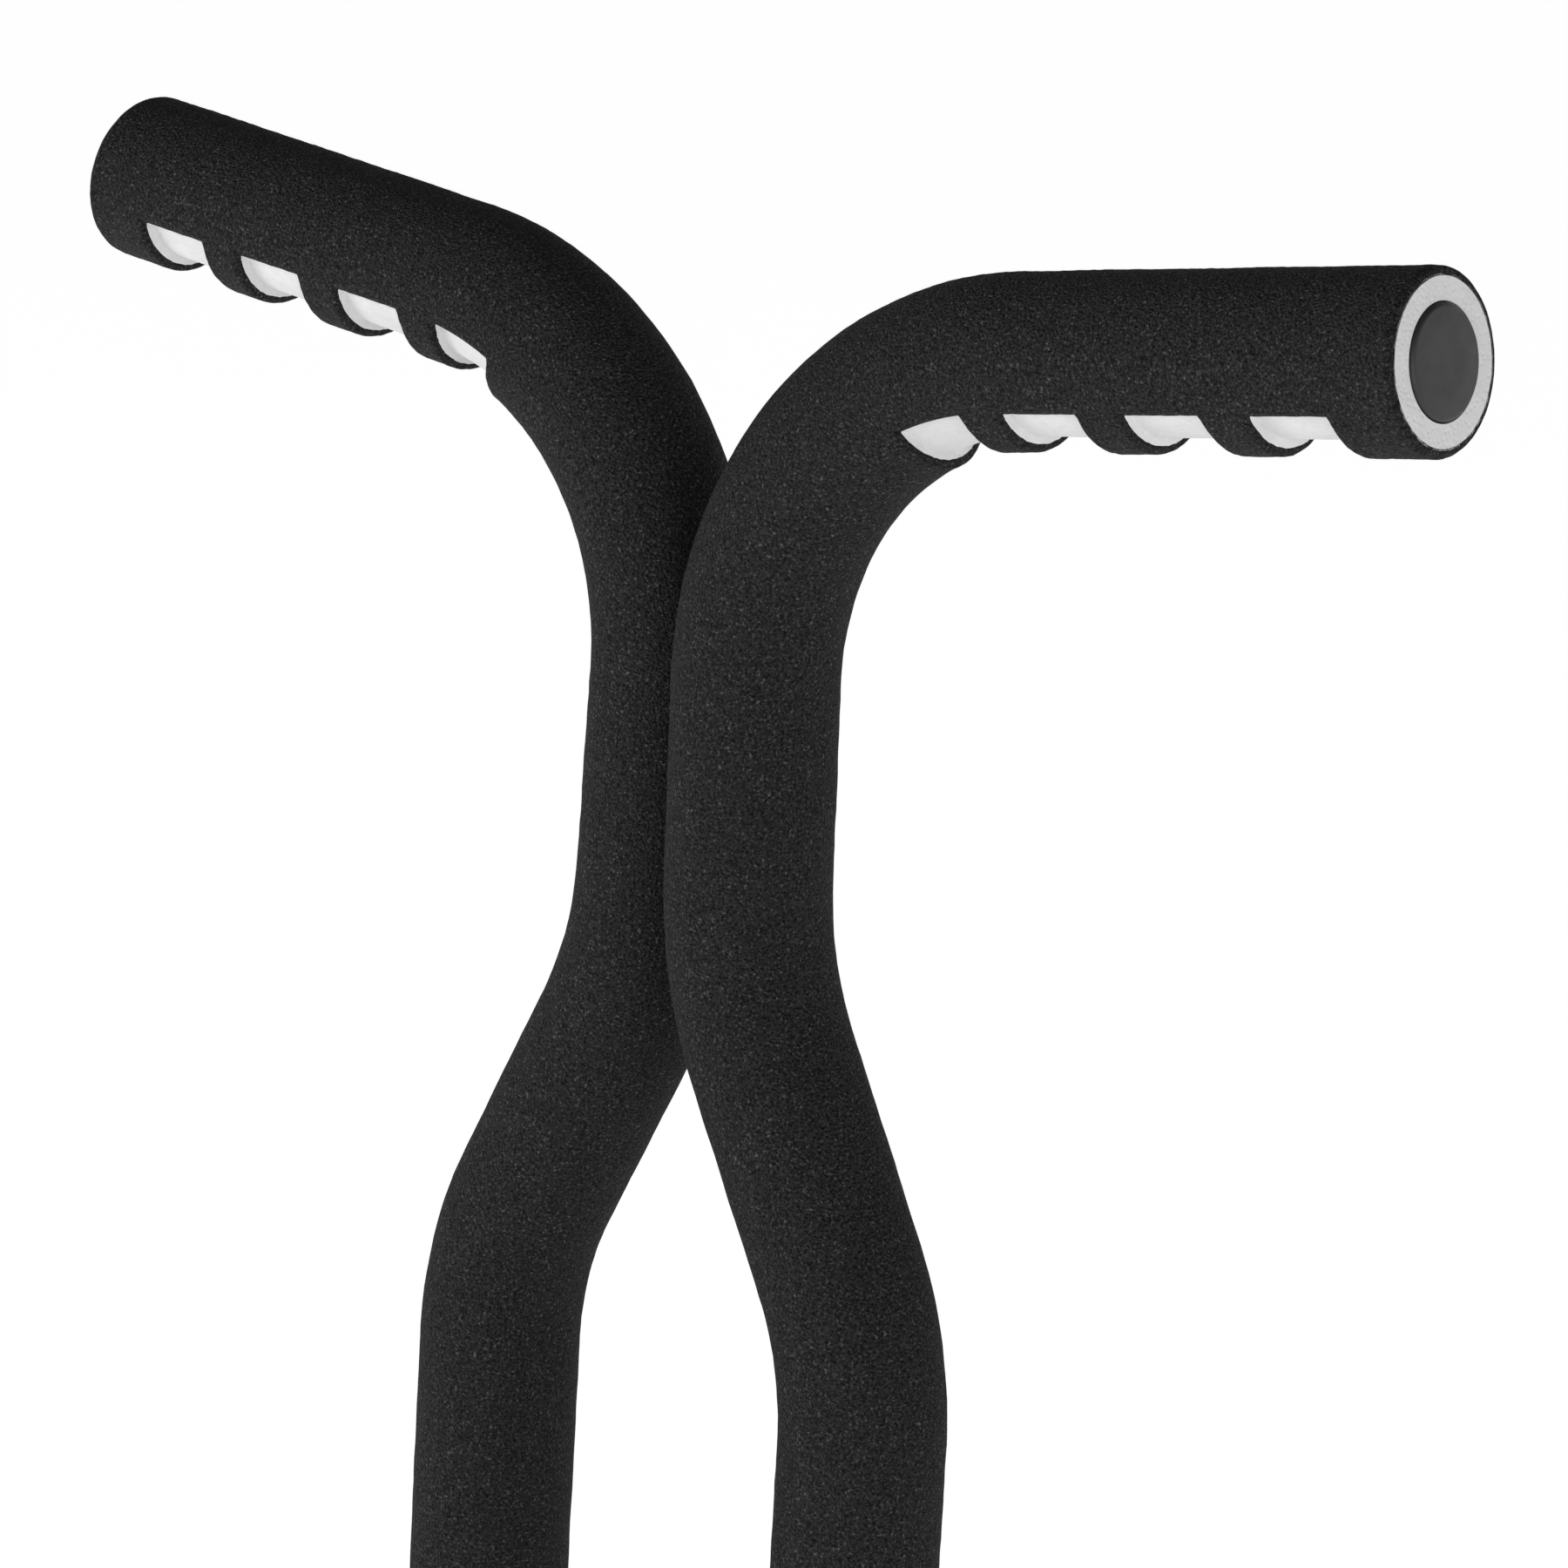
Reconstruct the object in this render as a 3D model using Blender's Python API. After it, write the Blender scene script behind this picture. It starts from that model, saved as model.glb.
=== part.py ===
"""Pull-up bar: two bent, foam-covered grip bars that stand side by side in a socket base.

Each bar is a bent steel tube with a white foam liner and a black foam sleeve over it. Its handle
points outward and has four finger grooves underneath. The bars' bare lower ends plug into two
clamp sockets on one steel base, and each bar swivels in its socket about its own leg axis.

Frame: origin at the centre of the base's underside, +X from the left socket to the right one,
+Z up, metres. The left side is the right side turned half a turn about Z, with its bar set lower.
"""

import math

import bmesh
import bpy
from mathutils import Matrix, Vector

# Bent centreline of a bar, which lies in one plane with its leg's axis
LEG_SPACING = 0.1153           # between the two leg axes
NECK_OFFSET = 0.0390           # how far the neck stands inward of the leg
NECK_LEAN = 0.0032             # how much further inward the neck's top is than its foot
HANDLE_REACH = 0.1249          # leg axis to handle end
BEND_HEIGHT = 0.2250           # first bend, above the base's underside
NECK_FOOT_RISE = 0.0756        # first bend to second
NECK_TOP_RISE = 0.2056         # first bend to third
HANDLE_END_RISE = 0.2271       # first bend to handle end
BEND_RADII = (0.0819, 0.0855, 0.0750)
BEND_STEP = math.radians(10)
SWIVEL_AT_REST = math.radians(6.3)   # both bars turned this far, which brings their necks together
LEFT_BAR_DROP = 0.0048         # the left bar's tube sits this much deeper in its collar

# Layers of a bar, from the inside out
TUBE_BORE = 0.0093
TUBE_RADIUS = 0.0111
LINER_RADIUS = 0.0163
SLEEVE_RADIUS = 0.0179
GRIP_SWELL = 0.04              # the foam is this share thicker at the handle's end
GRIP_LENGTH = 0.175            # over which it thickens
GAP = 0.0003                   # between pieces that touch
CUTTER_EXCESS = 0.010          # how far a cutter runs past what it cuts

# Finger grooves under the handle
GROOVES = 4
GROOVE_PITCH = 0.0302
GROOVE_WIDTH = 0.0192
GROOVE_DEPTH = 0.0033
GROOVE_SPAN = math.radians(64)   # each side of its middle, round the handle
GROOVE_TURN = math.radians(6.5)  # how far the grooves' middle is turned from straight down
GROOVE_STEPS = 16
END_LAND = 0.0170              # handle end to the nearest groove

# Caps at the tube's two ends
CAP_RADIUS = 0.0115
CAP_THICKNESS = 0.0030
CAP_PROUD = 0.0008
CAP_ROUNDING = 0.0010
PLUG_DEPTH = 0.0150

# Base
PLATE_SIZE = (0.210, 0.100, 0.006)
PLATE_CORNER = 0.012
BOLT_SPACING = (0.180, 0.070)
BOLT_HOLE_RADIUS = 0.0045
SOCKET_RADIUS = 0.0170
SOCKET_TOP = 0.0660
BUSH_WALL = 0.0020
BUSH_FLANGE = 0.0020
COLLAR_HEIGHT = 0.0120
COLLAR_SLOT = 0.0020
COLLAR_SCREW_RADIUS = 0.0020
COLLAR_SCREW_HEAD = (0.0030, 0.0030)   # radius and height
COLLAR_SCREW_SEAT = 0.0050     # under the head, from the slot's middle
COLLAR_SCREW_REACH = 0.0080    # past the slot's middle, on the threaded side
FOAM_CLEARANCE = 0.0040        # collar top to the left bar's foam
TUBE_FOOT = 0.0180             # the right tube's lower end, above the base's underside
WEB_THICKNESS = 0.0060
WEB_HEIGHT = 0.0300
GUSSET_REACH = 0.0240
GUSSET_HEIGHT = 0.0400
GUSSET_THICKNESS = 0.0050
GUSSET_TIP = 0.0040            # blunt ends of its two short edges

# Clamp knobs
CLAMP_HEIGHT = 0.0400
STEM_RADIUS = 0.0040
NUT_ACROSS_FLATS = 0.0150
NUT_LENGTH = 0.0080
KNOB_RADIUS = 0.0160
KNOB_LENGTH = 0.0140
KNOB_LOBES = 6
KNOB_WAVE = 0.08               # depth of the hollows between lobes, as a share of its radius
STEM_SIDES = 16
KNOB_WAIST = 0.0040            # nut face to knob

# Facets round a piece, and the collections
TUBE_SIDES = 16
FOAM_SIDES = 20
ROUND_SIDES = 24
BOLT_HOLE_SIDES = 20
SCREW_SIDES = 12
PARTS = "pull_up_bar"
CUTTERS = "cutters"

BLACK_FOAM = ("black_foam", (0.020, 0.020, 0.021), 0.90, 0.0)
WHITE_FOAM = ("white_foam", (0.780, 0.780, 0.780), 0.90, 0.0)
GREY_PLASTIC = ("grey_plastic", (0.055, 0.055, 0.057), 0.45, 0.0)
BLACK_PLASTIC = ("black_plastic", (0.025, 0.025, 0.026), 0.45, 0.0)
WHITE_NYLON = ("nylon", (0.700, 0.690, 0.650), 0.40, 0.0)
BARE_STEEL = ("bare_steel", (0.560, 0.570, 0.580), 0.30, 1.0)
PAINTED_STEEL = ("painted_steel", (0.030, 0.030, 0.032), 0.45, 0.0)
ZINC = ("zinc", (0.620, 0.630, 0.640), 0.32, 1.0)


def clear_scene():
    for obj in list(bpy.data.objects):
        bpy.data.objects.remove(obj)


def make_collection(name):
    made = bpy.data.collections.new(name)
    bpy.context.scene.collection.children.link(made)
    return made


def material(finish):
    name, colour, roughness, metallic = finish
    made = bpy.data.materials.get(name)
    if made:
        return made
    made = bpy.data.materials.new(name)
    made.use_nodes = True
    shader = made.node_tree.nodes["Principled BSDF"]
    shader.inputs["Base Color"].default_value = (*colour, 1.0)
    shader.inputs["Roughness"].default_value = roughness
    shader.inputs["Metallic"].default_value = metallic
    return made


# ---------------------------------------------------------------- centreline of a bar
# The bar's own frame has the leg's axis at x = 0 and the handle towards +X.

def bar_corners(foot):
    """The centreline's corners before they are rounded, from z = foot to the handle's end."""
    return [
        Vector((0, 0, foot)),
        Vector((0, 0, BEND_HEIGHT)),
        Vector((-NECK_OFFSET, 0, BEND_HEIGHT + NECK_FOOT_RISE)),
        Vector((-NECK_OFFSET - NECK_LEAN, 0, BEND_HEIGHT + NECK_TOP_RISE)),
        handle_end(),
    ]


def handle_end():
    return Vector((HANDLE_REACH, 0, BEND_HEIGHT + HANDLE_END_RISE))


def handle_frame():
    """Matrix of the handle's end: local +Z out along the handle, local +X down."""
    out = (handle_end() - bar_corners(0)[-2]).normalized()
    down = Vector((out.z, 0, -out.x))
    side = out.cross(down)
    turn = Matrix((down, side, out)).transposed().to_4x4()
    return Matrix.Translation(handle_end()) @ turn


def on_handle(along):
    """The same frame at the centreline point that lies this far back from the handle's end."""
    corners = bar_corners(0)
    radius = BEND_RADII[-1]
    turn = (corners[-2] - corners[-3]).angle(corners[-1] - corners[-2])
    straight = (corners[-1] - corners[-2]).length - radius * math.tan(turn / 2)
    on_bend = max(0.0, along - straight)
    centre = Matrix.Translation((radius, 0, 0))
    swing = centre @ Matrix.Rotation(-on_bend / radius, 4, "Y") @ centre.inverted()
    return handle_frame() @ Matrix.Translation((0, 0, on_bend - along)) @ swing


def rounded_corner(before, corner, after, radius):
    """Points along the round bend that replaces one corner."""
    into = (corner - before).normalized()
    out = (after - corner).normalized()
    turn = into.angle(out)
    start = corner - into * radius * math.tan(turn / 2)
    side = (out - into * into.dot(out)).normalized()
    count = max(2, round(turn / BEND_STEP))
    angles = [turn * i / count for i in range(count + 1)]
    return [start + radius * (side * (1 - math.cos(a)) + into * math.sin(a)) for a in angles]


def centreline(foot, beyond=0.0):
    """The centreline from z = foot to the handle's end, or past that end by a length."""
    corners = bar_corners(foot)
    points = [corners[0]]
    for i, radius in enumerate(BEND_RADII):
        points += rounded_corner(corners[i], corners[i + 1], corners[i + 2], radius)
    points.append(corners[-1] + (handle_frame().to_3x3() @ Vector((0, 0, beyond))))
    return points


def swell(points, beyond=0.0):
    """Each point's radius factor: 1 on the leg and neck, growing along the grip."""
    lengths = [0.0]
    for a, b in zip(points, points[1:]):
        lengths.append(lengths[-1] + (b - a).length)
    start = lengths[-1] - beyond - GRIP_LENGTH
    return [1 + GRIP_SWELL * max(0.0, (s - start) / GRIP_LENGTH) for s in lengths]


# ---------------------------------------------------------------- meshes

def clean_mesh(body, name):
    """A mesh from a bmesh, with its doubles merged and its faces pointing out."""
    bmesh.ops.remove_doubles(body, verts=body.verts, dist=0.00001)
    bmesh.ops.recalc_face_normals(body, faces=body.faces)
    mesh = bpy.data.meshes.new(name)
    body.to_mesh(mesh)
    body.free()
    return mesh


def swept(name, points, radius, sides, factors=None):
    """A solid round rod along the points, its radius scaled by each point's factor."""
    curve = bpy.data.curves.new(name, "CURVE")
    curve.dimensions = "3D"
    curve.bevel_depth = radius
    curve.bevel_resolution = (sides - 4) // 2
    curve.use_fill_caps = True
    spline = curve.splines.new("POLY")
    spline.points.add(len(points) - 1)
    for i, point in enumerate(points):
        spline.points[i].co = (*point, 1)
        spline.points[i].radius = factors[i] if factors else 1.0
    guide = bpy.data.objects.new(name, curve)
    bpy.context.scene.collection.objects.link(guide)
    graph = bpy.context.evaluated_depsgraph_get()
    body = bmesh.new()
    body.from_mesh(bpy.data.meshes.new_from_object(guide.evaluated_get(graph)))
    bpy.data.objects.remove(guide)
    return clean_mesh(body, name)


def turned(name, profile, sides=ROUND_SIDES):
    """A body turned about local Z from (radius, height) points, closed if it misses the axis."""
    body = bmesh.new()
    ring = [body.verts.new((r, 0, z)) for r, z in profile]
    edges = [body.edges.new(pair) for pair in zip(ring, ring[1:])]
    if profile[0][0] > 0:
        edges.append(body.edges.new((ring[-1], ring[0])))
    bmesh.ops.spin(
        body, geom=ring + edges, cent=(0, 0, 0), axis=(0, 0, 1),
        angle=2 * math.pi, steps=sides, use_merge=True,
    )
    return clean_mesh(body, name)


def cylinder(name, radius, low, high, sides=ROUND_SIDES):
    return turned(name, [(0, high), (radius, high), (radius, low), (0, low)], sides)


def block(name, low, high):
    """A box between two opposite corners."""
    body = bmesh.new()
    bmesh.ops.create_cube(body, size=1)
    low, high = Vector(low), Vector(high)
    for vert in body.verts:
        vert.co = (low + high) / 2 + Vector(a * b for a, b in zip(vert.co, high - low))
    return clean_mesh(body, name)


def extruded(name, outline, low, high):
    """A prism with the (x, y) outline, from z = low to z = high."""
    body = bmesh.new()
    face = body.faces.new([body.verts.new((x, y, low)) for x, y in outline])
    raised = bmesh.ops.extrude_face_region(body, geom=[face])["geom"]
    moved = [v for v in raised if isinstance(v, bmesh.types.BMVert)]
    bmesh.ops.translate(body, verts=moved, vec=(0, 0, high - low))
    return clean_mesh(body, name)


# ---------------------------------------------------------------- objects

def part(name, mesh, finish, parent=None, place=None):
    """One named piece in the parts collection."""
    obj = bpy.data.objects.new(name, mesh)
    bpy.data.collections[PARTS].objects.link(obj)
    if not mesh.materials:
        mesh.materials.append(material(finish))
        mesh.shade_smooth()
        mesh.set_sharp_from_angle(angle=math.radians(35))
    obj.parent = parent
    if place:
        obj.matrix_local = place
    return obj


def cut(mesh, *cutters):
    """The mesh with each (cutter mesh, matrix) taken out of it in turn."""
    for cutter_mesh, place in cutters:
        target = bpy.data.objects.new(mesh.name, mesh)
        cutter = bpy.data.objects.new(cutter_mesh.name, cutter_mesh)
        for obj in (target, cutter):
            bpy.data.collections[CUTTERS].objects.link(obj)
        cutter.matrix_world = place
        cutter.hide_render = True
        cutter.display_type = "WIRE"
        modifier = target.modifiers.new(cutter.name, "BOOLEAN")
        modifier.operation = "DIFFERENCE"
        modifier.solver = "EXACT"
        modifier.object = cutter
        bpy.context.view_layer.update()
        graph = bpy.context.evaluated_depsgraph_get()
        body = bmesh.new()
        body.from_mesh(bpy.data.meshes.new_from_object(target.evaluated_get(graph)))
        mesh = clean_mesh(body, mesh.name)
        bpy.data.objects.remove(target)
        bpy.data.objects.remove(cutter)
    return mesh


def still(mesh):
    """A cutter that needs no placing."""
    return mesh, Matrix.Identity(4)


def empty(name, place):
    obj = bpy.data.objects.new(name, None)
    bpy.data.collections[PARTS].objects.link(obj)
    obj.matrix_world = place
    return obj


# ---------------------------------------------------------------- the bars

def foam_foot():
    """Lower end of the right bar's foam, which leaves the left bar's clear of its collar."""
    return collar_top() + FOAM_CLEARANCE + LEFT_BAR_DROP


def collar_top():
    return SOCKET_TOP + BUSH_FLANGE + COLLAR_HEIGHT + 2 * GAP


def tube_mesh():
    outer = swept("tube", centreline(TUBE_FOOT, -CAP_THICKNESS), TUBE_RADIUS, TUBE_SIDES)
    bore = swept("tube_bore", centreline(0, CUTTER_EXCESS), TUBE_BORE, TUBE_SIDES)
    return cut(outer, still(bore))


def grooves():
    """The finger grooves' cutters, which reach part of the way round the handle."""
    floor = SLEEVE_RADIUS * (1 + GRIP_SWELL / 2) - GROOVE_DEPTH
    far = floor + CUTTER_EXCESS
    half = GROOVE_WIDTH / 2
    angles = [GROOVE_SPAN * (2 * i / GROOVE_STEPS - 1) for i in range(GROOVE_STEPS + 1)]
    outline = [(floor * math.cos(a), floor * math.sin(a)) for a in angles]
    outline += [(far * math.cos(a), far * math.sin(a)) for a in reversed(angles)]
    cutter = extruded("groove", outline, -half, half)
    turn = Matrix.Rotation(GROOVE_TURN, 4, "Z")
    return [(cutter, on_handle(END_LAND + half + i * GROOVE_PITCH) @ turn) for i in range(GROOVES)]


def foam_layer(name, inner, outer, inner_sides):
    """A foam tube between two radii, with the finger grooves cut in it."""
    points = centreline(foam_foot())
    body = swept(name, points, outer, FOAM_SIDES, swell(points))
    longer = centreline(foam_foot() - CUTTER_EXCESS, CUTTER_EXCESS)
    factors = None if inner_sides == TUBE_SIDES else swell(longer, CUTTER_EXCESS)
    bore = swept(name + "_bore", longer, inner, inner_sides, factors)
    return cut(body, still(bore), *grooves())


def liner_mesh():
    mesh = foam_layer("liner", TUBE_RADIUS + GAP, LINER_RADIUS, TUBE_SIDES)
    seat = cylinder("cap_seat", CAP_RADIUS + GAP, -CAP_THICKNESS - GAP, CUTTER_EXCESS)
    return cut(mesh, (seat, handle_frame()))


def sleeve_mesh():
    return foam_layer("sleeve", LINER_RADIUS + GAP, SLEEVE_RADIUS, FOAM_SIDES)


def cap_mesh():
    """A rounded disc over the tube's end with a plug that goes inside it."""
    top = CAP_PROUD
    under = GAP - CAP_THICKNESS
    plug = TUBE_BORE - 2 * GAP
    profile = [
        (0, top),
        (CAP_RADIUS - CAP_ROUNDING, top),
        (CAP_RADIUS - 0.3 * CAP_ROUNDING, top - 0.3 * CAP_ROUNDING),
        (CAP_RADIUS, top - CAP_ROUNDING),
        (CAP_RADIUS, under),
        (plug, under),
        (plug, under - PLUG_DEPTH),
        (0, under - PLUG_DEPTH),
    ]
    return turned("cap", profile)


def foot_plug_mesh():
    """A plug in the tube's lower end, its flange as wide as the tube."""
    plug = TUBE_BORE - 2 * GAP
    low = TUBE_FOOT - GAP - CAP_THICKNESS
    profile = [
        (0, TUBE_FOOT + PLUG_DEPTH),
        (plug, TUBE_FOOT + PLUG_DEPTH),
        (plug, TUBE_FOOT - GAP),
        (TUBE_RADIUS, TUBE_FOOT - GAP),
        (TUBE_RADIUS - CAP_ROUNDING, low),
        (0, low),
    ]
    return turned("foot_plug", profile)


def collar_meshes():
    """The split collar that sets the bar's height, its clamp screw and where that screw goes."""
    low = SOCKET_TOP + BUSH_FLANGE + 2 * GAP
    high = low + COLLAR_HEIGHT
    inner = TUBE_RADIUS + GAP
    offset = (inner + SOCKET_RADIUS) / 2
    screw_place = Matrix.Translation((0, -offset, (low + high) / 2)) @ Matrix.Rotation(math.pi / 2, 4, "Y")
    half_slot = COLLAR_SLOT / 2
    shaft = COLLAR_SCREW_RADIUS
    head, head_height = COLLAR_SCREW_HEAD
    seat = COLLAR_SCREW_SEAT
    under_head = seat + GAP
    ring = turned("collar", [
        (inner, low), (inner, high), (SOCKET_RADIUS, high), (SOCKET_RADIUS, low),
    ])
    slot = block("slot", (-half_slot, -2 * SOCKET_RADIUS, 0), (half_slot, 0, 2 * high))
    hole = cylinder("screw_hole", shaft + GAP, -COLLAR_SCREW_REACH - GAP, seat, SCREW_SIDES)
    well = cylinder("screw_well", head + GAP, seat, seat + SOCKET_RADIUS, SCREW_SIDES)
    screw = turned("collar_screw", [
        (0, under_head + head_height), (head, under_head + head_height), (head, under_head),
        (shaft, under_head), (shaft, -COLLAR_SCREW_REACH), (0, -COLLAR_SCREW_REACH),
    ], SCREW_SIDES)
    return cut(ring, still(slot), (hole, screw_place), (well, screw_place)), screw, screw_place


# ---------------------------------------------------------------- the base

def rounded_rectangle(width, depth, radius, steps=5):
    """A rectangle's outline with round corners, anticlockwise."""
    outline = []
    for quarter, (sx, sy) in enumerate(((1, 1), (-1, 1), (-1, -1), (1, -1))):
        centre = Vector((sx * (width / 2 - radius), sy * (depth / 2 - radius)))
        for i in range(steps + 1):
            angle = (quarter + i / steps) * math.pi / 2
            outline.append(centre + radius * Vector((math.cos(angle), math.sin(angle))))
    return outline


def plate_mesh():
    width, depth, thickness = PLATE_SIZE
    plate = extruded("base_plate", rounded_rectangle(width, depth, PLATE_CORNER), 0, thickness)
    past = thickness + CUTTER_EXCESS
    hole = cylinder("bolt_hole", BOLT_HOLE_RADIUS, -CUTTER_EXCESS, past, BOLT_HOLE_SIDES)
    corners = [(sx * BOLT_SPACING[0] / 2, sy * BOLT_SPACING[1] / 2) for sx in (-1, 1) for sy in (-1, 1)]
    return cut(plate, *[(hole, Matrix.Translation((x, y, 0))) for x, y in corners])


def stem_hole():
    """The clamp stem's clearance hole, out along +X from a leg's axis."""
    place = Matrix.Translation((0, 0, CLAMP_HEIGHT)) @ Matrix.Rotation(math.pi / 2, 4, "Y")
    return cylinder("stem_hole", STEM_RADIUS + GAP, 0, SOCKET_RADIUS + CUTTER_EXCESS, STEM_SIDES), place


def bush_radius():
    return TUBE_RADIUS + GAP + BUSH_WALL


def socket_mesh():
    inner, low = bush_radius() + GAP, PLATE_SIZE[2] + GAP
    ring = turned("socket", [
        (inner, low), (inner, SOCKET_TOP), (SOCKET_RADIUS, SOCKET_TOP), (SOCKET_RADIUS, low),
    ])
    return cut(ring, stem_hole())


def bush_mesh():
    """The liner of a socket, a sleeve with a flange that lies on the socket's rim."""
    inner, outer = TUBE_RADIUS + GAP, bush_radius()
    low, rim = PLATE_SIZE[2] + 2 * GAP, SOCKET_TOP + GAP
    ring = turned("bush", [
        (inner, low), (inner, rim + BUSH_FLANGE), (SOCKET_RADIUS, rim + BUSH_FLANGE),
        (SOCKET_RADIUS, rim), (outer, rim), (outer, low),
    ])
    return cut(ring, stem_hole())


def along_clamp(distance):
    """Matrix of a point on a clamp's axis, local +Z out along it."""
    return Matrix.Translation((distance, 0, CLAMP_HEIGHT)) @ Matrix.Rotation(math.pi / 2, 4, "Y")


def nut_mesh():
    hexagon = NUT_ACROSS_FLATS / math.sqrt(3)
    corners = [math.radians(60 * i + 30) for i in range(6)]
    outline = [(hexagon * math.cos(a), hexagon * math.sin(a)) for a in corners]
    nut = extruded("clamp_nut", outline, 0, NUT_LENGTH)
    past = NUT_LENGTH + CUTTER_EXCESS
    return cut(nut, still(cylinder("nut_hole", STEM_RADIUS + GAP, -CUTTER_EXCESS, past, STEM_SIDES)))


def knob_mesh():
    """A knob with round lobes: a prism whose outline waves between two radii, with the stem's seat."""
    steps = 8 * KNOB_LOBES
    outline = []
    for i in range(steps):
        angle = 2 * math.pi * i / steps
        radius = KNOB_RADIUS * (1 - KNOB_WAVE + KNOB_WAVE * math.cos(KNOB_LOBES * angle))
        outline.append((radius * math.cos(angle), radius * math.sin(angle)))
    knob = extruded("clamp_knob", outline, 0, KNOB_LENGTH)
    seat = cylinder("stem_seat", STEM_RADIUS + GAP, -CUTTER_EXCESS, KNOB_LENGTH / 2, STEM_SIDES)
    return cut(knob, still(seat))


def gusset_mesh():
    """A triangular rib between plate and socket, in the plane x = 0, towards +Y."""
    near, low = SOCKET_RADIUS + GAP, PLATE_SIZE[2] + GAP
    tip = GUSSET_TIP
    outline = [
        (near, low), (near + GUSSET_REACH, low), (near + GUSSET_REACH, low + tip),
        (near + tip, low + GUSSET_HEIGHT), (near, low + GUSSET_HEIGHT),
    ]
    rib = extruded("gusset", outline, -GUSSET_THICKNESS / 2, GUSSET_THICKNESS / 2)
    rib.transform(Matrix(((0, 0, 1, 0), (1, 0, 0, 0), (0, 1, 0, 0), (0, 0, 0, 1))))
    return rib


def web_mesh():
    reach = LEG_SPACING / 2 - SOCKET_RADIUS - GAP
    low = PLATE_SIZE[2] + GAP
    half = WEB_THICKNESS / 2
    return block("web", (-reach, -half, low), (reach, half, low + WEB_HEIGHT))


# ---------------------------------------------------------------- assembly

def build_base():
    part("base_plate", plate_mesh(), PAINTED_STEEL)
    part("cross_web", web_mesh(), PAINTED_STEEL)


def build_sides():
    tube, liner, sleeve = tube_mesh(), liner_mesh(), sleeve_mesh()
    cap, foot_plug = cap_mesh(), foot_plug_mesh()
    collar, collar_screw, screw_place = collar_meshes()
    socket, bush, gusset = socket_mesh(), bush_mesh(), gusset_mesh()
    nut, knob = nut_mesh(), knob_mesh()
    tip = TUBE_RADIUS + GAP
    nut_start = SOCKET_RADIUS + GAP
    knob_start = nut_start + NUT_LENGTH + KNOB_WAIST
    stem = cylinder("clamp_stem", STEM_RADIUS, tip, knob_start + KNOB_LENGTH / 2 - GAP, STEM_SIDES)

    for side, half_turn, drop in (("right", 0.0, 0.0), ("left", math.pi, LEFT_BAR_DROP)):
        around = Matrix.Rotation(half_turn, 4, "Z")
        leg = empty(side + "_leg_axis", around @ Matrix.Translation((LEG_SPACING / 2, 0, 0)))
        swivel = Matrix.Rotation(SWIVEL_AT_REST, 4, "Z")
        lowered = Matrix.Translation((0, 0, -drop)) @ swivel

        part(side + "_tube", tube, BARE_STEEL, leg, lowered)
        part(side + "_foam_liner", liner, WHITE_FOAM, leg, lowered)
        part(side + "_foam_sleeve", sleeve, BLACK_FOAM, leg, lowered)
        part(side + "_handle_cap", cap, GREY_PLASTIC, leg, lowered @ handle_frame())
        part(side + "_foot_plug", foot_plug, BLACK_PLASTIC, leg, lowered)
        part(side + "_height_collar", collar, ZINC, leg, swivel)
        part(side + "_collar_screw", collar_screw, ZINC, leg, swivel @ screw_place)

        part(side + "_socket", socket, PAINTED_STEEL, leg)
        part(side + "_socket_bush", bush, WHITE_NYLON, leg)
        part(side + "_front_gusset", gusset, PAINTED_STEEL, leg, Matrix.Rotation(math.pi, 4, "Z"))
        part(side + "_rear_gusset", gusset, PAINTED_STEEL, leg)
        part(side + "_clamp_nut", nut, ZINC, leg, along_clamp(nut_start))
        part(side + "_clamp_stem", stem, ZINC, leg, along_clamp(0))
        part(side + "_clamp_knob", knob, BLACK_PLASTIC, leg, along_clamp(knob_start))


clear_scene()
make_collection(PARTS)
make_collection(CUTTERS)
build_base()
build_sides()
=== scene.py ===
"""Looks of the pull-up bar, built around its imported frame.

The foam sleeves and liners are fine grids swept along each bar's bent centreline, with the finger
grooves, their steep walls, the windows where the white liner shows and the foam's lumps in the mesh.
The steel, zinc and plastic pieces are rebuilt with round edges, threads, chamfers and weld beads.
Every material is made of procedural nodes, in each piece's own coordinates.

Frame: metres, +Z up, +X from the left socket to the right one, -Y to the front. A bar's own frame
has its leg's axis at x = 0 and its handle towards +X. Driving sizes repeat those of the CAD design.
"""
import math

import bmesh
import bpy
import numpy as np
from mathutils import Matrix, Vector, noise


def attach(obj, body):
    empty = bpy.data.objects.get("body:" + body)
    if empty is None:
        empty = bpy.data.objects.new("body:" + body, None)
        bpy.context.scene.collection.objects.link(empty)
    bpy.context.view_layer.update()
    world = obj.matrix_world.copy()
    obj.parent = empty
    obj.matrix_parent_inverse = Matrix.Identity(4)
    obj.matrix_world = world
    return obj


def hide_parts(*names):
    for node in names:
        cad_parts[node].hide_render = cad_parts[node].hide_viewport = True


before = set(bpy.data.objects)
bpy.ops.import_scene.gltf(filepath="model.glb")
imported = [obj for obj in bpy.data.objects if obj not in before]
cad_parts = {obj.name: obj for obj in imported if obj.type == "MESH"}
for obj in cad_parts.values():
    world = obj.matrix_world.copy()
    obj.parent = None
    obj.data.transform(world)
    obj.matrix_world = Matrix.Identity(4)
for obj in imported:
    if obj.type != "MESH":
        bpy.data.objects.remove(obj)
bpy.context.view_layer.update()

# ---------------------------------------------------------------- sizes shared with the CAD design
LEG_SPACING = 0.1153
NECK_OFFSET = 0.0390
NECK_LEAN = 0.0032
HANDLE_REACH = 0.1249
BEND_HEIGHT = 0.2250
NECK_FOOT_RISE = 0.0756
NECK_TOP_RISE = 0.2056
HANDLE_END_RISE = 0.2271
BEND_RADII = np.array((0.0819, 0.0855, 0.0750))
SWIVEL_AT_REST = math.radians(6.3)
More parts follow.
